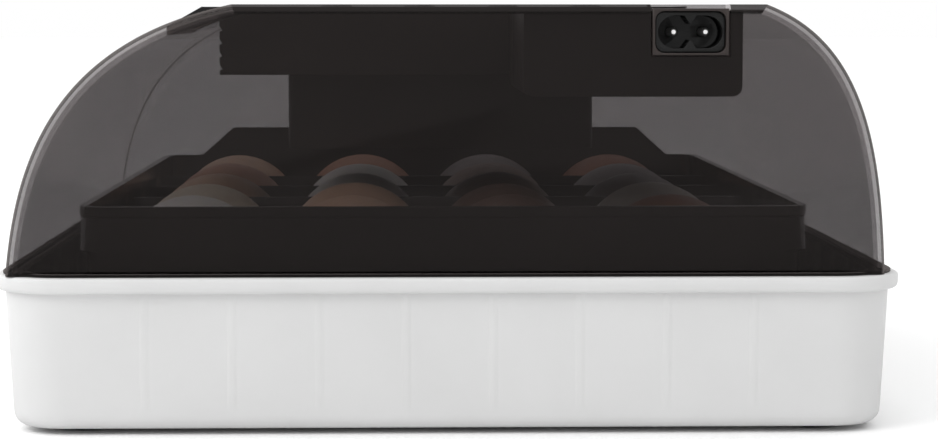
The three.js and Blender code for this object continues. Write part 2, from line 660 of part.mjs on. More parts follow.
function inletBody() {
  const back = INLET.front + INLET.depth;
  const block = prism(outlineAround(INLET.halfWidth, INLET.halfHeight, 2.2), INLET.front, back);
  const bores = [-1, 1].map((side) => pinSolid(side, 1.3, INLET.front + 10, back + 2));
  return block.subtract(unite([inletSocket(), ...bores]));
}

function pinSolid(side, radius, y0, y1) {
  const geometry = new THREE.CylinderGeometry(radius, radius, y1 - y0, 14);
  geometry.translate(INLET.x + side * PIN_SPACING / 2, (y0 + y1) / 2, INLET.z);
  return solid(geometry);
}

function powerBoard() {
  const y1 = POWER.y[1] - 4;
  const plate = box(POWER.x[0] + 4, POWER.x[1] - 4, -122, y1, 94.6, 96.2);
  const transformer = box(30, 50, -100, -78, 96, 108);
  const capacitor = post(62, -95, 5, 96, 110, 16);
  return unite([plate, transformer, capacitor]);
}

// ---------------------------------------------------------------- fan, heater, sensor
const FAN = { x: -0.5, half: 35, bottom: 80, top: 92, bore: 32.5, hub: 12 };

function fanHousing() {
  const [x0, x1] = NECK.x;
  const cx = (x0 + x1) / 2;
  const a = (x1 - x0) / 2;
  const wall = 2;
  const outer = slab(roundedRectangle(a, NECK.y, 2.6, 3, cx, 0), NECK.bottom, UNIT.bottom - 0.1);
  const cavity = slab(roundedRectangle(a - wall, NECK.y - wall, 1, 3, cx, 0), NECK.bottom - 1, UNIT.bottom + 1);
  return outer.subtract(cavity);
}

function fanFrame() {
  const plate = slab(roundedRectangle(FAN.half, FAN.half, 3, 3, FAN.x, 0), FAN.bottom, FAN.top);
  const bore = post(FAN.x, 0, FAN.bore, FAN.bottom - 1, FAN.top + 1, 32);
  const hub = post(FAN.x, 0, FAN.hub, FAN.top - 2.4, FAN.top, 20);
  const struts = [0, 120, 240].map((degrees) => {
    const strut = box(FAN.hub - 1, FAN.bore + 1, -1.2, 1.2, FAN.top - 2, FAN.top);
    return turnAboutZ(strut, degrees).translate([FAN.x, 0, 0]);
  });
  const spindle = post(FAN.x, 0, 1.5, FAN.bottom + 2, FAN.top - 1, 12);
  return unite([plate.subtract(bore), hub, ...struts, spindle]);
}

function fanRotor() {
  const top = FAN.top - 2.4 - 0.4;
  const hub = post(FAN.x, 0, FAN.hub, FAN.bottom + 1, top, 24);
  const blades = [];
  for (let i = 0; i < 7; i++) {
    const blade = box(FAN.hub - 0.6, FAN.bore - 1.2, -0.7, 0.7, -4.4, 4.4).rotate([42, 0, 0]);
    const lifted = blade.translate([0, 0, (FAN.bottom + 1 + top) / 2]);
    blades.push(turnAboutZ(lifted, i * 360 / 7).translate([FAN.x, 0, 0]));
  }
  const bore = post(FAN.x, 0, 1.8, 0, 200, 12);
  return unite([hub, ...blades]).subtract(bore);
}

// The heater is a flat ring of sheathed element on a cross-shaped carrier, just under the fan.
function heater() {
  const z = 77.5;
  const rings = [18, 30].map((radius) => {
    const geometry = new THREE.TorusGeometry(radius, 1.3, 6, 20);
    geometry.translate(FAN.x, 0, z);
    return solid(geometry);
  });
  const along = box(FAN.x - 43, FAN.x + 43, -2, 2, z - 0.6, z + 0.6);
  const across = box(FAN.x - 2, FAN.x + 2, -33, 33, z - 0.6, z + 0.6);
  return unite([...rings, along, across]);
}

function airGrille() {
  const [x0, x1] = NECK.x;
  const outline = roundedRectangle((x1 - x0) / 2 - 2.3, NECK.y - 2.3, 0.8, 2, (x0 + x1) / 2, 0);
  const plate = slab(outline, NECK.bottom, NECK.bottom + 1.8);
  const slots = [];
  for (let i = 0; i < 9; i++) {
    const y = (i - 4) * 7;
    slots.push(box(x0 + 9, -2.5, y - 2.2, y + 2.2, 60, 80));
    slots.push(box(1.5, x1 - 9, y - 2.2, y + 2.2, 60, 80));
  }
  return plate.subtract(unite(slots));
}

function sensorProbe() {
  const top = UNIT.bottom - 0.1;
  const profile = [[0, 79], [2.4, 79.6], [3.4, 81], [3.4, 92], [5, 93], [5, top], [0, top]];
  return turned(profile, 22, 47.5, 18);
}

// A screw head sunk in its counterbore in the housing's floor.
function housingScrew([x, y]) {
  const head = UNIT.bottom + 0.2;
  const profile = [[0, head], [2.7, head + 0.2], [3, head + 0.6], [3, head + 1.9], [0, head + 1.9]];
  return turned(profile, x, y, 16);
}

// ---------------------------------------------------------------- assembly
function addBase() {
  const base = new THREE.Group();
  incubator.add(base);
  place(base, 'base_tub', baseTub(), colours.white);
  place(base, 'foot_front_left', foot(-1, -1), colours.rubber);
  place(base, 'foot_front_right', foot(1, -1), colours.rubber);
  place(base, 'foot_rear_left', foot(-1, 1), colours.rubber);
  place(base, 'foot_rear_right', foot(1, 1), colours.rubber);
  place(base, 'inner_liner', innerLiner(), colours.black);
  place(base, 'floor_grille', floorGrille(), colours.black);
  place(base, 'turner_motor', turnerMotor(), colours.steel);
  place(base, 'motor_screw_left', motorScrew(-1), colours.steel);
  place(base, 'motor_screw_right', motorScrew(1), colours.steel);
}

function addTurner() {
  const turner = new THREE.Group();
  incubator.add(turner);
  place(turner, 'turner_pinion', turnerPinion(), colours.gear);
  place(turner, 'turner_rack', turnerRack(), colours.gear);
  place(turner, 'egg_frame', eggFrame(), colours.black);
  place(turner, 'divider_grid', dividerGrid(), colours.black);
}

function addEggs() {
  const eggs = new THREE.Group();
  incubator.add(eggs);
  EGG_COLUMNS.forEach((x, column) => {
    for (let row = 0; row < EGG_ROWS; row++) {
      const shade = eggShades[(2 * column + 3 * row) % eggShades.length];
      const shell = new THREE.MeshStandardMaterial({ color: shade, roughness: 0.6, metalness: 0 });
      place(eggs, `egg_${column + 1}_${row + 1}`, eggSolid(x, rowCentre(row)), shell);
    }
  });
}

function addLid() {
  const lid = new THREE.Group();
  incubator.add(lid);
  place(lid, 'dome_cover', domeCover(), colours.smoked);
  place(lid, 'control_panel', controlPanel(), colours.gloss);
  place(lid, 'display_window', displayWindow(), colours.smoked);
  place(lid, 'display_module', displayModule(), colours.black);
  KEYS.forEach(({ name, x }) => place(lid, name, key(x), colours.key));
  LAMPS.forEach(({ name, x }) => place(lid, name, lamp(x), colours.lamp));
  place(lid, 'main_board', mainBoard(), colours.board);
  place(lid, 'control_housing', controlHousing(), colours.black);
  place(lid, 'power_box', powerBox(), colours.black);
  place(lid, 'inlet_body', inletBody(), colours.gloss);
  place(lid, 'inlet_pin_left', pinSolid(-1, 1.2, INLET.front + 2, INLET.front + 20), colours.steel);
  place(lid, 'inlet_pin_right', pinSolid(1, 1.2, INLET.front + 2, INLET.front + 20), colours.steel);
  place(lid, 'power_board', powerBoard(), colours.board);
  place(lid, 'fan_housing', fanHousing(), colours.black);
  place(lid, 'fan_frame', fanFrame(), colours.black);
  place(lid, 'fan_rotor', fanRotor(), colours.gloss);
  place(lid, 'heater', heater(), colours.steel);
  place(lid, 'air_grille', airGrille(), colours.black);
  place(lid, 'sensor_probe', sensorProbe(), colours.white);
  place(lid, 'housing_screw_left', housingScrew(POSTS[0]), colours.steel);
  place(lid, 'housing_screw_right', housingScrew(POSTS[3]), colours.steel);
}

addBase();
addTurner();
addEggs();
addLid();

export default incubator;
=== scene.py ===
"""The looks of a small egg incubator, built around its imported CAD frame. Metres, +Z up, inlet end towards -Y."""

import json
import math
import random

import bmesh
import bpy
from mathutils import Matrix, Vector

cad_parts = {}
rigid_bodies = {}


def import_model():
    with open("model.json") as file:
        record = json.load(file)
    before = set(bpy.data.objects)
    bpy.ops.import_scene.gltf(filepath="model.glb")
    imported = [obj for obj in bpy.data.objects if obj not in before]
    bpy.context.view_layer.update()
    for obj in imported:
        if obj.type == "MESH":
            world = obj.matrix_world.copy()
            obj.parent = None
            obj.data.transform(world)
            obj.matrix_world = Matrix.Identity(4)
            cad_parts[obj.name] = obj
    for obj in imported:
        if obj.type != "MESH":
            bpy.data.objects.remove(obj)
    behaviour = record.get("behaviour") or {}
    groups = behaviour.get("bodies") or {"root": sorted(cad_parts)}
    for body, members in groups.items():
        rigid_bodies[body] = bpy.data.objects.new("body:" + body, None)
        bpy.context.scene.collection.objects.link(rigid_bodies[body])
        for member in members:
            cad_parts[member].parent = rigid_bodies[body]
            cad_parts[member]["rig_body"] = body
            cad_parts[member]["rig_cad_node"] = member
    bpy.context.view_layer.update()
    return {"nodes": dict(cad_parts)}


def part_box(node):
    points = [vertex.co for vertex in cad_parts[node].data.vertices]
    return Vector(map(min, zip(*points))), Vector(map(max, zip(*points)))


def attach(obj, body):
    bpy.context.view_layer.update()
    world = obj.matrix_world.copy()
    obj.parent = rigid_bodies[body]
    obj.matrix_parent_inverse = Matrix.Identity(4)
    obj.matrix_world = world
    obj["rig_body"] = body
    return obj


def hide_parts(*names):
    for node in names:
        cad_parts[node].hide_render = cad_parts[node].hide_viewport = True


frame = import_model()

MM = 0.001
NODES = frame["nodes"]

# ---------------------------------------------------------------- sizes, from the frame where it has them
TUB_LOW, TUB_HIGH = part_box("base_tub")
_, DOME_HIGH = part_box("dome_cover")
HALF_WIDTH = TUB_HIGH.x
HALF_LENGTH = TUB_HIGH.y
RIM_TOP = TUB_HIGH.z
DOME_TOP = DOME_HIGH.z
RIM_CORNER = 19.5 * MM
RIM_BAND = 4.5 * MM
TUB_WALL = 2.2 * MM
DOME_WALL = 1.4 * MM
DOME_END = 150 * MM
DOME_EDGE = 3 * MM
FLANGE = 1 * MM
FLANGE_INSET = 2.1 * MM
FLANGE_BEVEL = 0.25 * MM
THROAT_INSET = 7 * MM
PANEL_HOLE_LOW = (-76 * MM, -50.3 * MM, 100 * MM)
PANEL_HOLE_HIGH = (74.3 * MM, 50.3 * MM, 130 * MM)
INLET_NOTCH_LOW = (53.9 * MM, -152 * MM, 101.7 * MM)
INLET_NOTCH_HIGH = (75.3 * MM, -138 * MM, 130 * MM)
CORNER_STEPS = 12


# ---------------------------------------------------------------- mesh helpers
def new_object(name, verts, faces, smooth_angle=35):
    """A mesh object from vertices and faces, shaded smooth except across edges sharper than smooth_angle."""
    mesh = bpy.data.meshes.new(name)
    mesh.from_pydata([tuple(v) for v in verts], [], faces)
    mesh.validate()
    obj = bpy.data.objects.new(name, mesh)
    bpy.context.scene.collection.objects.link(obj)
    shade(obj, smooth_angle)
    return obj


def shade(obj, smooth_angle):
    obj.data.polygons.foreach_set("use_smooth", [True] * len(obj.data.polygons))
    obj.data.set_sharp_from_angle(angle=math.radians(smooth_angle))


def rounded_rectangle(a, b, radius):
    """Points around a rectangle of half-sizes a and b with round corners, anticlockwise."""
    points = []
    for sx, sy, start in ((1, 1, 0), (-1, 1, 90), (-1, -1, 180), (1, -1, 270)):
        for i in range(CORNER_STEPS + 1):
            angle = math.radians(start + 90 * i / CORNER_STEPS)
            x = sx * (a - radius) + radius * math.cos(angle)
            y = sy * (b - radius) + radius * math.sin(angle)
            points.append((x, y))
    return points


def loft(name, rings, smooth_angle=35):
    """A closed body through rings of equally many points, with flat ends."""
    count = len(rings[0])
    verts = [point for ring in rings for point in ring]
    faces = []
    for k in range(len(rings) - 1):
        for i in range(count):
            j = (i + 1) % count
            faces.append((k * count + i, k * count + j, (k + 1) * count + j, (k + 1) * count + i))
    faces.append(tuple(reversed(range(count))))
    faces.append(tuple(range((len(rings) - 1) * count, len(rings) * count)))
    return face_outwards(new_object(name, verts, faces, smooth_angle))


def face_outwards(obj):
    work = bmesh.new()
    work.from_mesh(obj.data)
    bmesh.ops.recalc_face_normals(work, faces=work.faces)
    work.to_mesh(obj.data)
    work.free()
    return obj


def box_object(name, low, high):
    xs, ys, zs = (low[0], high[0]), (low[1], high[1]), (low[2], high[2])
    verts = [(x, y, z) for z in zs for y in ys for x in xs]
    faces = [(0, 2, 3, 1), (4, 5, 7, 6), (0, 1, 5, 4), (2, 6, 7, 3), (0, 4, 6, 2), (1, 3, 7, 5)]
    return face_outwards(new_object(name, verts, faces))


def combine(target, cutter, operation):
    """Joins or cuts target with cutter, which is then removed."""
    modifier = target.modifiers.new("combine", "BOOLEAN")
    modifier.operation = operation
    modifier.solver = "EXACT"
    modifier.object = cutter
    apply_modifiers(target)
    bpy.data.objects.remove(cutter)
    return target


def apply_modifiers(obj):
    bpy.context.view_layer.update()
    evaluated = obj.evaluated_get(bpy.context.evaluated_depsgraph_get())
    mesh = bpy.data.meshes.new_from_object(evaluated)
    obj.modifiers.clear()
    obj.data = mesh


def refined(node, width, segments):
    """A copy of a CAD node with its shared vertices merged and its sharp edges rounded."""
    source = NODES[node]
    mesh = source.data.copy()
    piece = bpy.data.objects.new(node + "_finished", mesh)
    bpy.context.scene.collection.objects.link(piece)
    work = bmesh.new()
    work.from_mesh(mesh)
    bmesh.ops.remove_doubles(work, verts=work.verts, dist=2e-6)
    bmesh.ops.dissolve_limit(
        work, angle_limit=math.radians(1.5), verts=work.verts, edges=work.edges, use_dissolve_boundaries=False
    )
    work.to_mesh(mesh)
    work.free()
    if mesh.has_custom_normals:
        mesh.normals_split_custom_set([(0, 0, 0)] * len(mesh.loops))
    bevel = piece.modifiers.new("edges", "BEVEL")
    bevel.width = width
    bevel.segments = segments
    bevel.limit_method = "ANGLE"
    bevel.angle_limit = math.radians(32)
    bevel.use_clamp_overlap = True
    apply_modifiers(piece)
    shade(piece, 40)
    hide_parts(node)
    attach(piece, source["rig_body"])
    return piece


# ---------------------------------------------------------------- materials
class Surface:
    """A material under construction: a Principled shader with object-space textures around it."""

    def __init__(self, name, colour, roughness, metallic=0.0):
        self.material = bpy.data.materials.new(name)
        self.material.use_nodes = True
        self.nodes = self.material.node_tree.nodes
        self.links = self.material.node_tree.links
        self.shader = self.nodes["Principled BSDF"]
        self.output = self.nodes["Material Output"]
        self.coordinates = self.nodes.new("ShaderNodeTexCoord").outputs["Object"]
        self.shader.inputs["Base Color"].default_value = (*colour, 1)
        self.shader.inputs["Roughness"].default_value = roughness
        self.shader.inputs["Metallic"].default_value = metallic
        self.roughness = roughness
        self.height = None

    def node(self, kind, **settings):
        made = self.nodes.new(kind)
        for key, value in settings.items():
            setattr(made, key, value)
        return made

    def noise(self, scale, detail=4.0, roughness=0.5, stretch=None):
        texture = self.node("ShaderNodeTexNoise")
        texture.inputs["Scale"].default_value = scale
        texture.inputs["Detail"].default_value = detail
        texture.inputs["Roughness"].default_value = roughness
        source = self.coordinates
        if stretch:
            mapping = self.node("ShaderNodeMapping")
            mapping.inputs["Scale"].default_value = stretch
            self.links.new(source, mapping.inputs["Vector"])
            source = mapping.outputs["Vector"]
        self.links.new(source, texture.inputs["Vector"])
        return texture.outputs["Fac"]

    def cell_edges(self, scale):
        texture = self.node("ShaderNodeTexVoronoi", feature="DISTANCE_TO_EDGE")
        texture.inputs["Scale"].default_value = scale
        self.links.new(self.coordinates, texture.inputs["Vector"])
        return texture.outputs["Distance"]

    def spread(self, value, low_in, high_in, low_out, high_out):
        """The value moved from one range to another, and held inside it."""
        ranged = self.node("ShaderNodeMapRange")
        ranged.inputs["From Min"].default_value = low_in
        ranged.inputs["From Max"].default_value = high_in
        ranged.inputs["To Min"].default_value = low_out
        ranged.inputs["To Max"].default_value = high_out
        self.links.new(value, ranged.inputs["Value"])
        return ranged.outputs["Result"]

    def mix_colours(self, factor, first, second):
        mix = self.node("ShaderNodeMix", data_type="RGBA")
        self.links.new(factor, mix.inputs["Factor"])
        for socket, value in ((mix.inputs[6], first), (mix.inputs[7], second)):
            if isinstance(value, tuple):
                socket.default_value = (*value, 1)
            else:
                self.links.new(value, socket)
        return mix.outputs[2]

    def vary_colour(self, value, first, second, low=0.35, high=0.65):
        mixed = self.mix_colours(self.spread(value, low, high, 0, 1), first, second)
        self.links.new(mixed, self.shader.inputs["Base Color"])

    def vary_roughness(self, value, amount, low=0.3, high=0.7):
        varied = self.spread(value, low, high, self.roughness - amount, self.roughness + amount)
        self.links.new(varied, self.shader.inputs["Roughness"])

    def bump(self, value, depth, strength=1.0):
        """Adds a height of depth metres for a value from 0 to 1."""
        bump = self.node("ShaderNodeBump")
        bump.inputs["Strength"].default_value = strength
        bump.inputs["Distance"].default_value = depth
        self.links.new(value, bump.inputs["Height"])
        if self.height:
            self.links.new(self.height, bump.inputs["Normal"])
        self.height = bump.outputs["Normal"]
        self.links.new(self.height, self.shader.inputs["Normal"])


def scaled(colour, factor):
    return tuple(min(1.0, c * factor) for c in colour)


def moulded_plastic(name, colour, roughness, grain=0.02, mottle=0.05, specular=0.5):
    """Satin moulded plastic: faint flow mottling, fine spark-eroded grain, patches of handling gloss.

    The grain is grain millimetres deep.
    """
    surface = Surface(name, colour, roughness)
    surface.shader.inputs["Specular IOR Level"].default_value = specular
    surface.vary_colour(surface.noise(38, 5), scaled(colour, 1 - mottle), scaled(colour, 1 + mottle))
    surface.vary_roughness(surface.noise(90, 6, 0.6), roughness * 0.22)
    surface.bump(surface.noise(2600, 3, 0.6), grain * MM)
    surface.bump(surface.noise(60, 2), 0.05 * MM)
    return surface.material


def polished_plastic(name, colour, roughness=0.12):
    surface = Surface(name, colour, roughness)
    surface.vary_colour(surface.noise(50, 4), scaled(colour, 0.85), scaled(colour, 1.2))
    surface.vary_roughness(surface.noise(240, 8, 0.7), roughness * 0.5)
    surface.bump(surface.noise(35, 2), 0.06 * MM)
    return surface.material


def smoked_plastic(name, tint, reflect_roughness=0.05, shaded_below=0.0, most_gloss=0.09):
    """Clear grey-tinted plastic. Each face passes its tint, so a wall, which has two, passes its square.

    Below the height shaded_below it passes less, painted shade for the flange, which is seen edge on. Its reflection
    never takes more than the share most_gloss, so that the dome stays as clear at its edges as the real one.
    """
    surface = Surface(name, (0.012, 0.012, 0.012), reflect_roughness)
    surface.bump(surface.noise(28, 2), 0.10 * MM)
    clear = surface.node("ShaderNodeBsdfTransparent")
    separate = surface.node("ShaderNodeSeparateXYZ")
    surface.links.new(surface.coordinates, separate.inputs[0])
    # painted shade for the flange: below that height the tint passed is cut to 0.35
    unshaded = surface.spread(separate.outputs["Z"], shaded_below - 0.1 * MM, shaded_below + 0.1 * MM, 0, 1)
    passed = (tint, tint * 0.985, tint * 0.99)
    tinted = surface.mix_colours(unshaded, scaled(passed, 0.35), passed)
    surface.links.new(tinted, clear.inputs["Color"])
    gloss = surface.node("ShaderNodeFresnel")
    gloss.inputs["IOR"].default_value = 1.45
    held = surface.node("ShaderNodeMath", operation="MINIMUM")
    surface.links.new(gloss.outputs["Fac"], held.inputs[0])
    held.inputs[1].default_value = most_gloss
    mix = surface.node("ShaderNodeMixShader")
    surface.links.new(held.outputs["Value"], mix.inputs["Fac"])
    surface.links.new(clear.outputs["BSDF"], mix.inputs[1])
    mirror = surface.node("ShaderNodeBsdfGlossy")
    mirror.inputs["Color"].default_value = (1, 0.90, 0.87, 1)
    mirror.inputs["Roughness"].default_value = reflect_roughness
    surface.links.new(surface.height, mirror.inputs["Normal"])
    surface.links.new(mirror.outputs["BSDF"], mix.inputs[2])
    surface.links.new(mix.outputs["Shader"], surface.output.inputs["Surface"])
    surface.nodes.remove(surface.shader)
    return surface.material


def eggshell(name, colour, speckle, seed):
    """Fine-pored shell, unevenly tinted, with sparse speckles. The seed moves its pattern."""
    surface = Surface(name, colour, 0.48)
    offset = surface.node("ShaderNodeVectorMath", operation="ADD")
    surface.links.new(surface.coordinates, offset.inputs[0])
    offset.inputs[1].default_value = (seed * 0.37, seed * 0.11, seed * 0.23)
    surface.coordinates = offset.outputs["Vector"]
    clouds = surface.spread(surface.noise(45, 5, 0.6), 0.3, 0.7, 0, 1)
    body = surface.mix_colours(clouds, scaled(colour, 0.90), scaled(colour, 1.07))
    spots = surface.spread(surface.noise(420, 3, 0.6), 0.66, 0.72, 0, speckle)
    spotted = surface.mix_colours(spots, body, scaled(colour, 0.55))
    surface.links.new(spotted, surface.shader.inputs["Base Color"])
    surface.vary_roughness(surface.noise(300, 4), 0.08)
    surface.bump(surface.noise(1500, 3, 0.7), 0.03 * MM)
    surface.bump(surface.noise(90, 2), 0.08 * MM)
    surface.shader.inputs["Subsurface Weight"].default_value = 0.12
    surface.shader.inputs["Subsurface Radius"].default_value = (0.004, 0.002, 0.001)
    return surface.material


def rubber(name, colour):
    surface = Surface(name, colour, 0.82)
    surface.vary_colour(surface.noise(160, 6), scaled(colour, 0.7), scaled(colour, 1.5))
    surface.vary_roughness(surface.noise(200, 4), 0.1)
    surface.bump(surface.noise(1800, 4, 0.7), 0.05 * MM)
    return surface.material


def metal(name, colour, roughness, stretch=(1, 1, 14), metallic=1.0):
    surface = Surface(name, colour, roughness, metallic)
    brushed = surface.noise(900, 5, 0.65, stretch)
    surface.vary_colour(brushed, scaled(colour, 0.82), scaled(colour, 1.1))
    surface.vary_roughness(brushed, roughness * 0.35)
    surface.bump(brushed, 0.01 * MM)
    return surface.material


def circuit_board(name):
    """Green solder mask with tracks under it."""
    surface = Surface(name, (0.02, 0.13, 0.06), 0.35)
    tracks = surface.cell_edges(260)
    surface.vary_colour(tracks, (0.05, 0.24, 0.11), (0.015, 0.11, 0.05), 0.03, 0.07)
    surface.vary_roughness(surface.noise(300, 4), 0.1)
    surface.bump(tracks, 0.03 * MM, 0.5)
    return surface.material


def paint(obj, material):
    obj.data.materials.clear()
    obj.data.materials.append(material)
    for polygon in obj.data.polygons:
        polygon.material_index = 0


WHITE = moulded_plastic("white_plastic", (0.63, 0.63, 0.63), 0.42, grain=0.012, mottle=0.015)
BLACK = moulded_plastic("black_plastic", (0.045, 0.036, 0.033), 0.36, mottle=0.15, specular=0.4)
BOX_BLACK = moulded_plastic("box_plastic", (0.038, 0.030, 0.028), 0.36, mottle=0.15, specular=0.4)
LINER_BLACK = moulded_plastic("liner_plastic", (0.034, 0.027, 0.025), 0.45, mottle=0.15, specular=0.4)
FRAME_BLACK = moulded_plastic("frame_plastic", (0.030, 0.024, 0.022), 0.2, grain=0.004, mottle=0.15)
GLOSS_BLACK = polished_plastic("gloss_black_plastic", (0.01, 0.01, 0.01))
SMOKED = smoked_plastic("smoked_plastic", 0.538, shaded_below=RIM_TOP + 1.1 * MM)
# darker and nearly clear copies of the smoked plastic: painted shade and painted light on the dome's end roundings
SMOKED_PAINTED_SHADE = smoked_plastic("smoked_painted_shade_edge", 0.12)
SMOKED_PAINTED_LIGHT = smoked_plastic("smoked_painted_light_inner_edge", 0.95)
SMOKED_PAINTED_SHADE_CROWN = smoked_plastic("smoked_painted_shade_crown_edge", 0.12, most_gloss=0.02)
WINDOW = smoked_plastic("window_plastic", 0.62, 0.03)
DISPLAY = polished_plastic("display_face", (0.02, 0.018, 0.018), 0.3)
SEGMENT = moulded_plastic("display_segment", (0.20, 0.13, 0.12), 0.5)
KEY = moulded_plastic("key_plastic", (0.33, 0.34, 0.35), 0.4, grain=0.01)
PRINT = moulded_plastic("panel_print", (0.72, 0.72, 0.72), 0.6, grain=0.004)
LAMP = polished_plastic("lamp_plastic", (0.55, 0.07, 0.04), 0.15)
RUBBER = rubber("rubber", (0.03, 0.03, 0.03))
ACETAL = moulded_plastic("gear_plastic", (0.72, 0.69, 0.60), 0.35, grain=0.006)
STEEL = metal("steel", (0.62, 0.63, 0.65), 0.32)
PIN_METAL = metal("pin_metal", (0.60, 0.59, 0.58), 0.3, (1, 14, 1), 0.9)
# painted highlight: near-white, barely metallic ends for the pins
PIN_PAINTED_HIGHLIGHT = metal("pin_painted_highlight", (0.97, 0.96, 0.95), 0.4, (1, 1, 1), 0.2)
BOARD = circuit_board("circuit_board")


# ---------------------------------------------------------------- base tub
END_RIBS = [(i - 3.5) * 23.4 * MM for i in range(8)]
SIDE_RIBS = [(i - 4.5) * 25.5 * MM for i in range(10)]
END_STRAIGHT = 95 * MM      # ribs and other points are nearer the middle of a side than this
SIDE_STRAIGHT = 130 * MM
RIB_HALF = 1.15 * MM
RIB_PROUD = 0.12 * MM
FOOT_INSET = 4.8 * MM       # the wall leans in from the rim's band down to the foot
BAND_INSET = 2.7 * MM
FOOT_CORNER = 4 * MM
LIP = 1.1 * MM
LIP_INSET = 0.25 * MM
LIP_TOP = 1.9 * MM
TOP_ROUNDING = 0.9 * MM
INNER_BEVEL = 0.4 * MM


def rib_samples(ribs, limit):
    """Places along a side where its outline needs points: across each rib, and one between ribs."""
    places = []
    for rib in ribs:
        places += [rib + RIB_HALF * share for share in (-1.25, -1, -0.7, -0.35, 0, 0.35, 0.7, 1, 1.25)]
    between = [(a + b) / 2 for a, b in zip(ribs, ribs[1:])]
    return sorted(place for place in places + between if abs(place) < limit)


def rib_height(distance):
    share = min(abs(distance) / RIB_HALF, 1)
    return RIB_PROUD * (1 - share**4) ** 0.8


def tub_ring(z, inset, relief):
    """The tub's outline at one height: a rounded rectangle with ribs standing relief times their full height."""
    a, b = HALF_WIDTH - inset, HALF_LENGTH - inset
    corner = rounded_rectangle(a, b, max(RIM_CORNER - inset, 3 * MM))
    count = CORNER_STEPS + 1
    quarters = [corner[k * count:(k + 1) * count] for k in range(4)]
    ring = []
    end_places = rib_samples(END_RIBS, END_STRAIGHT)
    side_places = rib_samples(SIDE_RIBS, SIDE_STRAIGHT)
    sides = (
        (list(reversed(end_places)), lambda t, h: (t, b + h), END_RIBS),
        (list(reversed(side_places)), lambda t, h: (-a - h, t), SIDE_RIBS),
        (end_places, lambda t, h: (t, -b - h), END_RIBS),
        (side_places, lambda t, h: (a + h, t), SIDE_RIBS),
    )
    for quarter, (places, at, ribs) in zip(quarters, sides):
        ring += quarter
        for place in places:
            nearest = min(abs(place - rib) for rib in ribs)
            ring.append(at(place, relief * rib_height(nearest)))
    return [(x, y, z) for x, y in ring]


def arc(start, end, centre, radius, steps):
    """Points on a circular arc in (inset, z) from angle start to end, in degrees, without the first."""
    points = []
    for i in range(1, steps + 1):
        angle = math.radians(start + (end - start) * i / steps)
        points.append((centre[0] + radius * math.cos(angle), centre[1] + radius * math.sin(angle)))
    return points


def make_tub():
    """The tub as rings, from its foot up the outside, over the rim and down the inside. Each is inset, z, relief."""
    low, top = TUB_LOW.z, RIM_TOP
    band = top - RIM_BAND

    def wall_inset(z):
        share = (z - low) / (band - low)
        return FOOT_INSET + (BAND_INSET - FOOT_INSET) * share

    profile = [(FOOT_INSET + FOOT_CORNER, low, 0)]
    centre = (FOOT_INSET + FOOT_CORNER - 0.2 * MM, low + FOOT_CORNER)
    for inset, z in arc(270, 180, centre, FOOT_CORNER, 7):
        profile.append((inset, z, 0))
    for share, relief in ((0.02, 0), (0.05, 0.3), (0.1, 0.7), (0.18, 1), (0.5, 1), (0.9, 1), (0.97, 1)):
        z = low + FOOT_CORNER + (band - low - FOOT_CORNER) * share
        profile.append((wall_inset(z), z, relief))
    profile.append((BAND_INSET, band - 0.3 * MM, 1))
    profile.append((BAND_INSET, band, 0.6))
    for i in range(5):
        angle = math.radians(90 * i / 4)
        inset = BAND_INSET - (BAND_INSET - LIP_INSET) * math.sin(angle)
        profile.append((inset, band + LIP * (1 - math.cos(angle)), 0))
    profile.append((0.0, band + LIP_TOP, 0))
    for i in range(6):
        angle = math.radians(90 * i / 5)
        profile.append((TOP_ROUNDING * (1 - math.cos(angle)), top - TOP_ROUNDING * (1 - math.sin(angle)), 0))
    inner = BAND_INSET + TUB_WALL
    profile.append((inner - INNER_BEVEL, top, 0))
    profile.append((inner, top - INNER_BEVEL, 0))
    floor = low + TUB_WALL
    profile.append((wall_inset(floor + FOOT_CORNER) + TUB_WALL, floor + FOOT_CORNER, 0))
    centre = (FOOT_INSET + TUB_WALL + FOOT_CORNER, floor + FOOT_CORNER)
    for inset, z in arc(180, 270, centre, FOOT_CORNER, 5):
        profile.append((inset, z, 0))
    rings = [tub_ring(z, inset, relief) for inset, z, relief in profile]
    tub = loft("tub_shell", rings, 38)
    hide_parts("base_tub")
    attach(tub, "base")
    paint(tub, WHITE)


# ---------------------------------------------------------------- dome
LEFT_SHOULDER = {"x": 13.4 * MM, "z": 2.1 * MM, "reach": 133.8 * MM, "rise": 118 * MM, "power": 3.41}
RIGHT_SHOULDER = {"x": 27 * MM, "z": 2.1 * MM, "reach": 91.2 * MM, "rise": 118.8 * MM, "power": 4.06}
SIDE_SHARE = 1.2    # how much further the dome's sides move in than its crown, for the same inset
SHOULDER_STEPS = 56
END_STEPS = 6
# slots: plain wall, painted shade on the end roundings, painted light on the inner rounding, painted shade on the
# crown's rounding
PLAIN, PAINTED_SHADE_SLOT, PAINTED_LIGHT_SLOT, PAINTED_CROWN_SHADE_SLOT = range(4)    # the dome's material slots


def shoulder(curve, side, inset):
    """Points on part of a superellipse, from the rim up to the flat crown, moved in by inset."""
    a, b, power = curve["reach"] - SIDE_SHARE * inset, curve["rise"] - inset, curve["power"]
    start = math.asin(((RIM_TOP - curve["z"]) / b) ** (power / 2))
    end = math.asin(((DOME_TOP - inset - curve["z"]) / b) ** (power / 2))
    points = []
    for i in range(SHOULDER_STEPS + 1):
        t = start + (end - start) * i / SHOULDER_STEPS
        across, up = a * math.cos(t) ** (2 / power), b * math.sin(t) ** (2 / power)
        points.append((curve["x"] + side * across, curve["z"] + up))
    return points


def dome_outline(inset, low):
    """The dome's section in X and Z, moved in by inset. Every inset gives the same number of points."""
    left = shoulder(LEFT_SHOULDER, -1, inset)
    right = shoulder(RIGHT_SHOULDER, 1, inset)
    (x0, top), (x1, _) = right[-1], left[-1]
    crown = [(x0 + (x1 - x0) * share, top) for share in (0.02, 0.34, 0.66, 0.98)]
    return [(right[0][0], low), *right, *crown, *reversed(left), (left[0][0], low)]


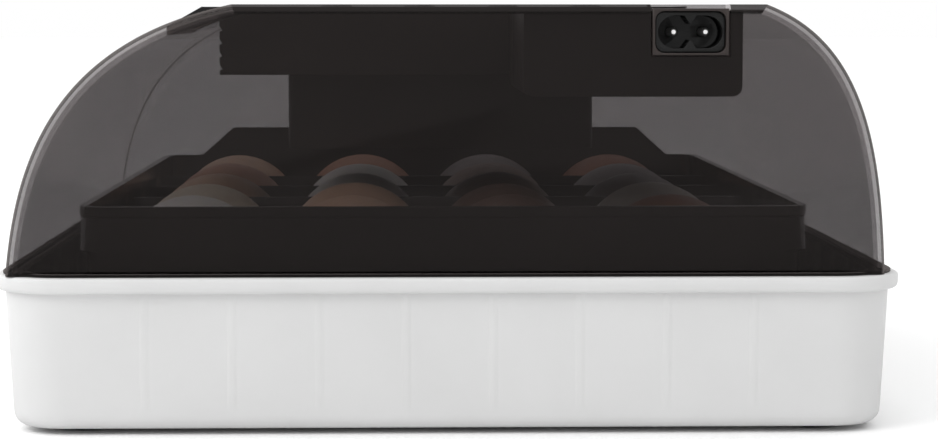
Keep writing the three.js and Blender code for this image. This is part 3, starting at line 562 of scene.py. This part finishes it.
def end_rounding(inset, end, edge, low):
    """Sections from one end cap to the other: each is nearer the full outline the further it is from the cap."""
    stations = []
    for i in range(END_STEPS + 1):
        angle = math.radians(90 * i / END_STEPS)
        stations.append((edge * (1 - math.sin(angle)), end - edge * (1 - math.cos(angle))))
    near = [(inset + shrink, -y) for shrink, y in stations]
    far = [(inset + shrink, y) for shrink, y in reversed(stations)]
    return [[(x, y, z) for x, z in dome_outline(shrink, low)] for shrink, y in near + far]


def paint_edge_shade_and_light(dome):
    """Puts painted shade on the near end's outer rounding, where light runs along inside the wall, and painted light
    on the inner one, which is made nearly clear.

    At the far end only the left shoulder gets this painted shade, in a narrower band. The near end's crown rounding
    gets painted shade too, with little gloss.
    """
    for material in (SMOKED_PAINTED_SHADE, SMOKED_PAINTED_LIGHT, SMOKED_PAINTED_SHADE_CROWN):
        dome.data.materials.append(material)
    for polygon in dome.data.polygons:
        y = polygon.center.y
        outward = polygon.normal.y * math.copysign(1, y)
        across = abs(polygon.normal.x)
        between_ends = abs(y) < DOME_END - DOME_EDGE - 0.1 * MM
        if between_ends or polygon.center.z < RIM_TOP + FLANGE or abs(outward) > 0.98:
            continue
        crown = across < 0.05 and polygon.center.z > DOME_TOP - DOME_EDGE - MM
        # painted shade and painted light, picked by each face's place and the way it faces
        if y > 0:
            dark = polygon.center.x < 0 and 0 < outward < 0.5 and not crown
            polygon.material_index = PAINTED_SHADE_SLOT if dark else PLAIN
        elif crown:
            polygon.material_index = PAINTED_CROWN_SHADE_SLOT
        elif 0 < outward < 0.72:
            polygon.material_index = PAINTED_SHADE_SLOT
        elif outward < 0:
            polygon.material_index = PAINTED_LIGHT_SLOT


def make_dome():
    outer = loft("smoked_dome", end_rounding(0, DOME_END, DOME_EDGE, RIM_TOP))
    within = end_rounding(DOME_WALL, DOME_END - DOME_WALL, DOME_EDGE - DOME_WALL, RIM_TOP - 5 * MM)
    inner = loft("dome_inside", within)
    dome = combine(outer, inner, "DIFFERENCE")
    rings = []
    for shrink, up in ((FLANGE_BEVEL, 0), (0, FLANGE_BEVEL), (0, FLANGE - FLANGE_BEVEL), (FLANGE_BEVEL, FLANGE)):
        inset = FLANGE_INSET + shrink
        ring = rounded_rectangle(HALF_WIDTH - inset, HALF_LENGTH - inset, RIM_CORNER - inset)
        rings.append([(x, y, RIM_TOP + up) for x, y in ring])
    flange = loft("dome_flange", rings)
    inset = THROAT_INSET
    throat = rounded_rectangle(HALF_WIDTH - inset, HALF_LENGTH - inset, RIM_CORNER - inset)
    hole = loft("dome_throat", [[(x, y, z) for x, y in throat] for z in (RIM_TOP - MM, RIM_TOP + 3 * MM)])
    flange = combine(flange, hole, "DIFFERENCE")
    dome = combine(dome, flange, "UNION")
    panel_hole = box_object("panel_hole", PANEL_HOLE_LOW, PANEL_HOLE_HIGH)
    dome = combine(dome, panel_hole, "DIFFERENCE")
    notch = box_object("inlet_notch", INLET_NOTCH_LOW, INLET_NOTCH_HIGH)
    dome = combine(dome, notch, "DIFFERENCE")
    shade(dome, 38)
    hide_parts("dome_cover")
    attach(dome, "lid")
    paint(dome, SMOKED)
    paint_edge_shade_and_light(dome)


# ---------------------------------------------------------------- eggs
EGG_COLOURS = {    # a colour, and how strong the speckles are
    "white": ((0.80, 0.78, 0.74), 0.0),
    "grey": ((0.52, 0.47, 0.42), 0.05),
    "slate": ((0.30, 0.26, 0.26), 0.05),
    "umber": ((0.27, 0.15, 0.11), 0.20),
    "cream": ((0.74, 0.64, 0.52), 0.05),
    "peach": ((0.72, 0.47, 0.33), 0.10),
    "salmon": ((0.56, 0.27, 0.17), 0.25),
    "brown": ((0.40, 0.16, 0.09), 0.35),
}
# The darker shells of the third and fourth columns are partly the eggs' own colour and partly painted shade for the
# control unit above them.
EGG_PLAN = (
    ("white", "cream", "peach", "salmon", "peach"),
    ("peach", "peach", "white", "white", "salmon"),
    ("umber", "umber", "umber", "umber", "slate"),
    ("brown", "grey", "slate", "slate", "brown"),
)    # one row for each column of eggs, from the inlet's end
# painted shade: shells from this column on are darkened by the factor below, for the control unit's shadow
FIRST_PAINTED_SHADE_COLUMN = 3
PAINTED_SHADE_DIMMING = 0.8


def egg_mesh(name, centre, radius, half_length):
    """A smooth egg lying along Y, blunt end towards +Y."""
    around, along = 48, 40
    verts = [(centre.x, centre.y - half_length, centre.z)]
    for i in range(1, along):
        t = math.pi * i / along
        r = radius * math.sin(t) * (1 - 0.11 * math.cos(t) * math.sin(t)) / 1.006
        y = centre.y - half_length * math.cos(t)
        for k in range(around):
            angle = 2 * math.pi * k / around
            verts.append((centre.x + r * math.cos(angle), y, centre.z + r * math.sin(angle)))
    verts.append((centre.x, centre.y + half_length, centre.z))
    last = len(verts) - 1
    faces = []
    for k in range(around):
        j = (k + 1) % around
        faces.append((0, 1 + k, 1 + j))
        faces.append((last, last - around + j, last - around + k))
        for i in range(along - 2):
            a, b = 1 + i * around, 1 + (i + 1) * around
            faces.append((a + k, b + k, b + j, a + j))
    return new_object(name, verts, faces, 180)


def make_eggs():
    draw = random.Random(7)
    for column, shades in enumerate(EGG_PLAN, start=1):
        for row, shade_name in enumerate(shades, start=1):
            node = f"egg_{column}_{row}"
            low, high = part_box(node)
            centre = (low + high) / 2
            radius = (high.z - low.z) / 2 * (0.97 + 0.03 * draw.random())
            half_length = (high.y - low.y) / 2 * (0.97 + 0.03 * draw.random())
            egg = egg_mesh(f"hen_{node}", centre, radius, half_length)
            colour, speckle = EGG_COLOURS[shade_name]
            # painted shade on the shells under the control unit
            dim = PAINTED_SHADE_DIMMING if column >= FIRST_PAINTED_SHADE_COLUMN else 1
            colour = scaled(colour, dim * (0.94 + 0.12 * draw.random()))
            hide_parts(node)
            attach(egg, f"eggs_column_{column}")
            paint(egg, eggshell(f"shell_{column}_{row}", colour, speckle, column * 7 + row))


# ---------------------------------------------------------------- inlet pins
def make_pins():
    """The inlet's contact pins, with their near ends rounded off and given a painted highlight in near-white."""
    turns = [math.radians(360 * i / 32) for i in range(32)]
    tip = [(0.42, 0), (0.52, 0.05), (0.7, 0.55), (0.88, 1.2), (1.0, 2.0)]
    for node in ("inlet_pin_left", "inlet_pin_right"):
        low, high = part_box(node)
        middle, radius = (low + high) / 2, (high.x - low.x) / 2
        sections = [(share * radius, low.y + back * radius) for share, back in tip] + [(radius, high.y)]
        rings = []
        for reach, y in sections:
            rings.append([(middle.x + reach * math.cos(t), y, middle.z + reach * math.sin(t)) for t in turns])
        pin = loft(node + "_rounded", rings, 50)
        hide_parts(node)
        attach(pin, "lid")
        paint(pin, PIN_METAL)
        # painted highlight: faces turned towards -Y take the near-white tip material
        pin.data.materials.append(PIN_PAINTED_HIGHLIGHT)
        for polygon in pin.data.polygons:
            polygon.material_index = 1 if polygon.normal.y < -0.8 else 0


# ---------------------------------------------------------------- panel marks
def flat_shapes(name, outlines, bottom, top):
    """One piece made of flat shapes, each standing from bottom to top."""
    verts, faces = [], []
    for outline in outlines:
        first, count = len(verts), len(outline)
        verts += [(x, y, z) for z in (bottom, top) for x, y in outline]
        faces.append(tuple(reversed(range(first, first + count))))
        faces.append(tuple(range(first + count, first + 2 * count)))
        for i in range(count):
            j = (i + 1) % count
            faces.append((first + i, first + j, first + count + j, first + count + i))
    return face_outwards(new_object(name, verts, faces, 30))


def ring_outline(outer, inner, start, end):
    """A ring cut open between the angles end and start, in degrees."""
    steps = 28
    turns = [math.radians(start + (end - start) * i / steps) for i in range(steps + 1)]
    outside = [(outer * math.cos(t), outer * math.sin(t)) for t in turns]
    return outside + [(inner * math.cos(t), inner * math.sin(t)) for t in reversed(turns)]


def make_key_marks():
    """A plain symbol let into the top of each key: a turning arrow, two triangles and a dot."""
    triangle = [(-1.8, -1.1), (1.8, -1.1), (0, 1.9)]
    symbols = {
        "turn": [ring_outline(2.4, 1.8, 30, 320), [(1.0, -2.3), (3.0, -1.7), (1.4, -0.3)]],
        "down": [[(x, -y) for x, y in triangle]],
        "up": [triangle],
        "set": [ring_outline(2.2, 1.6, 0, 358), ring_outline(0.9, 0.05, 0, 358)],
    }
    for name, outlines in symbols.items():
        low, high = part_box(name + "_key")
        middle = (low + high) / 2
        placed = [[(middle.x + x * MM, middle.y + y * MM) for x, y in outline] for outline in outlines]
        mark = flat_shapes(name + "_mark", placed, high.z - 0.25 * MM, high.z - 0.01 * MM)
        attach(mark, "key_" + name)
        paint(mark, PRINT)


def make_segments():
    """Four unlit seven-segment digits on the display, under the window."""
    low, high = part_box("display_module")
    pitch = (high.x - low.x) / 4
    half, length, thick = pitch * 0.26, pitch * 0.22, pitch * 0.045
    point = length + thick
    bar = [(-point, 0), (-length, thick), (length, thick), (point, 0), (length, -thick), (-length, -thick)]
    upright = [(y, x) for x, y in bar]
    layout = [(0, up, bar) for up in (2, 0, -2)]
    layout += [(across, up, upright) for up in (1, -1) for across in (-1, 1)]
    outlines = []
    for digit in range(4):
        x = low.x + pitch * (digit + 0.5)
        y = (low.y + high.y) / 2
        for across, up, shape in layout:
            outlines.append([(x + across * half + dx, y + up * half + dy) for dx, dy in shape])
    digits = flat_shapes("display_digits", outlines, high.z - 0.1 * MM, high.z + 0.1 * MM)
    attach(digits, "lid")
    paint(digits, SEGMENT)


# ---------------------------------------------------------------- carried-over pieces
def finish_piece(node, width, material, segments=2):
    paint(refined(node, width * MM, segments), material)


def finish_frame_pieces():
    for side in ("front_left", "front_right", "rear_left", "rear_right"):
        finish_piece(f"foot_{side}", 0.2, RUBBER)
    finish_piece("inner_liner", 0.5, LINER_BLACK)
    finish_piece("floor_grille", 0.3, LINER_BLACK)
    finish_piece("egg_frame", 0.6, FRAME_BLACK, 3)
    finish_piece("divider_grid", 0.4, FRAME_BLACK)
    finish_piece("control_panel", 0.5, GLOSS_BLACK, 3)
    finish_piece("control_housing", 0.5, BLACK)
    finish_piece("power_box", 0.35, BOX_BLACK)
    finish_piece("inlet_body", 0.2, GLOSS_BLACK)
    finish_piece("fan_housing", 0.6, BLACK)
    finish_piece("fan_frame", 0.3, BLACK)
    finish_piece("fan_rotor", 0.25, BLACK)
    finish_piece("air_grille", 0.3, BLACK)
    finish_piece("sensor_probe", 0.2, WHITE)
    finish_piece("turner_motor", 0.2, STEEL)
    finish_piece("turner_pinion", 0.05, ACETAL)
    finish_piece("turner_rack", 0.05, ACETAL)
    finish_piece("display_window", 0.2, WINDOW)
    for name in ("turn_key", "down_key", "up_key", "set_key"):
        finish_piece(name, 0.25, KEY, 3)


def paint_cad_nodes():
    plain = {
        "motor_screw_left": (STEEL, "steel"),
        "motor_screw_right": (STEEL, "steel"),
        "housing_screw_left": (STEEL, "steel"),
        "housing_screw_right": (STEEL, "steel"),
        "heater": (STEEL, "steel"),
        "main_board": (BOARD, "circuit_board"),
        "power_board": (BOARD, "circuit_board"),
        "display_module": (DISPLAY, "display"),
        "power_lamp": (LAMP, "lamp_plastic"),
        "heat_lamp": (LAMP, "lamp_plastic"),
        "turn_lamp": (LAMP, "lamp_plastic"),
    }
    for name, (material, slot) in plain.items():
        paint(NODES[name], material)


# ---------------------------------------------------------------- studio
CAMERA_AT = (-13.5 * MM, -855 * MM, 111.9 * MM)
CAMERA_LOOK = (0.02655, 1, -0.0761)
CAMERA_LENS = 101.2
FLOOR_IN_REFLECTIONS = 0.2
WORLD_BRIGHT = 1.3      # the world's strength as light, behind and above the object
WORLD_DIM = 0.38        # and in front of it
WORLD_LEFT = 1.22       # its share on each side
WORLD_RIGHT = 0.74


def make_camera():
    data = bpy.data.cameras.new("camera")
    data.lens = CAMERA_LENS
    data.sensor_width = 36
    data.clip_start = 0.01
    data.clip_end = 20
    camera = bpy.data.objects.new("camera", data)
    camera.location = CAMERA_AT
    camera.rotation_euler = Vector(CAMERA_LOOK).to_track_quat("-Z", "Y").to_euler()
    bpy.context.scene.collection.objects.link(camera)
    bpy.context.scene.camera = camera


def make_floor():
    """A white floor. Reflections of its near half are darker, so that the dome's glossy end wall stays dark."""
    floor = box_object("studio_floor", (-6, -3, -0.02), (6, 14, 0))
    surface = Surface("studio_floor", (1.0, 1.0, 1.0), 0.8)
    surface.vary_roughness(surface.noise(20, 3), 0.05)
    separate = surface.node("ShaderNodeSeparateXYZ")
    surface.links.new(surface.coordinates, separate.inputs[0])
    near = surface.spread(separate.outputs["Y"], -0.25, 0.1, 1, 0)
    path = surface.node("ShaderNodeLightPath")
    both = surface.node("ShaderNodeMath", operation="MULTIPLY")
    surface.links.new(near, both.inputs[0])
    surface.links.new(path.outputs["Is Glossy Ray"], both.inputs[1])
    tone = surface.mix_colours(both.outputs[0], (1.0, 1.0, 1.0), scaled((1.0, 1.0, 1.0), FLOOR_IN_REFLECTIONS))
    surface.links.new(tone, surface.shader.inputs["Base Color"])
    floor.data.materials.append(surface.material)


def area_light(name, location, target, size, power):
    data = bpy.data.lights.new(name, "AREA")
    data.shape = "RECTANGLE"
    data.size, data.size_y = size
    data.energy = power
    light = bpy.data.objects.new(name, data)
    light.location = location
    direction = Vector(target) - Vector(location)
    light.rotation_euler = direction.to_track_quat("-Z", "Y").to_euler()
    light.visible_glossy = False
    bpy.context.scene.collection.objects.link(light)


def ranged(nodes, links, value, low, high, to_low, to_high):
    """A world node that moves a value from one range to another, with a smooth step."""
    node = nodes.new("ShaderNodeMapRange")
    node.interpolation_type = "SMOOTHSTEP"
    for name, number in (("From Min", low), ("From Max", high), ("To Min", to_low), ("To Max", to_high)):
        node.inputs[name].default_value = number
    links.new(value, node.inputs["Value"])
    return node.outputs["Result"]


def make_world():
    """White where the camera sees it. As light it is bright behind, above and to the left, and dim in front."""
    world = bpy.data.worlds.new("studio")
    world.use_nodes = True
    bpy.context.scene.world = world
    nodes, links = world.node_tree.nodes, world.node_tree.links
    background = nodes["Background"]
    direction = nodes.new("ShaderNodeTexCoord").outputs["Generated"]
    separate = nodes.new("ShaderNodeSeparateXYZ")
    links.new(direction, separate.inputs[0])
    behind = ranged(nodes, links, separate.outputs["Y"], -0.5, 0.4, WORLD_DIM, WORLD_BRIGHT)
    above = ranged(nodes, links, separate.outputs["Z"], 0.3, 0.85, 0.0, WORLD_BRIGHT)
    brighter = nodes.new("ShaderNodeMath")
    brighter.operation = "MAXIMUM"
    links.new(behind, brighter.inputs[0])
    links.new(above, brighter.inputs[1])
    leftward = ranged(nodes, links, separate.outputs["X"], -0.9, 0.9, WORLD_LEFT, WORLD_RIGHT)
    shaded = nodes.new("ShaderNodeMath")
    shaded.operation = "MULTIPLY"
    links.new(brighter.outputs[0], shaded.inputs[0])
    links.new(leftward, shaded.inputs[1])
    path = nodes.new("ShaderNodeLightPath")
    choose = nodes.new("ShaderNodeMix")
    choose.data_type = "FLOAT"
    links.new(path.outputs["Is Camera Ray"], choose.inputs[0])
    links.new(shaded.outputs[0], choose.inputs[2])
    choose.inputs[3].default_value = 1.0
    links.new(choose.outputs[0], background.inputs["Strength"])
    background.inputs["Color"].default_value = (1, 1, 1, 1)


def make_studio():
    make_camera()
    make_floor()
    make_world()
    area_light("key", (-1.0, -0.95, 1.0), (0, 0, 0.05), (0.8, 0.8), 7.4)
    area_light("left", (-0.75, -0.1, 0.32), (-0.05, 0, 0.06), (0.5, 0.3), 0.5)
    area_light("fill", (0.5, -1.3, 0.6), (0, 0, 0.03), (1.2, 1.2), 4.0)
    bpy.context.scene.view_settings.view_transform = "Standard"


make_studio()
make_tub()
make_dome()
make_eggs()
make_pins()
make_key_marks()
make_segments()
finish_frame_pieces()
paint_cad_nodes()
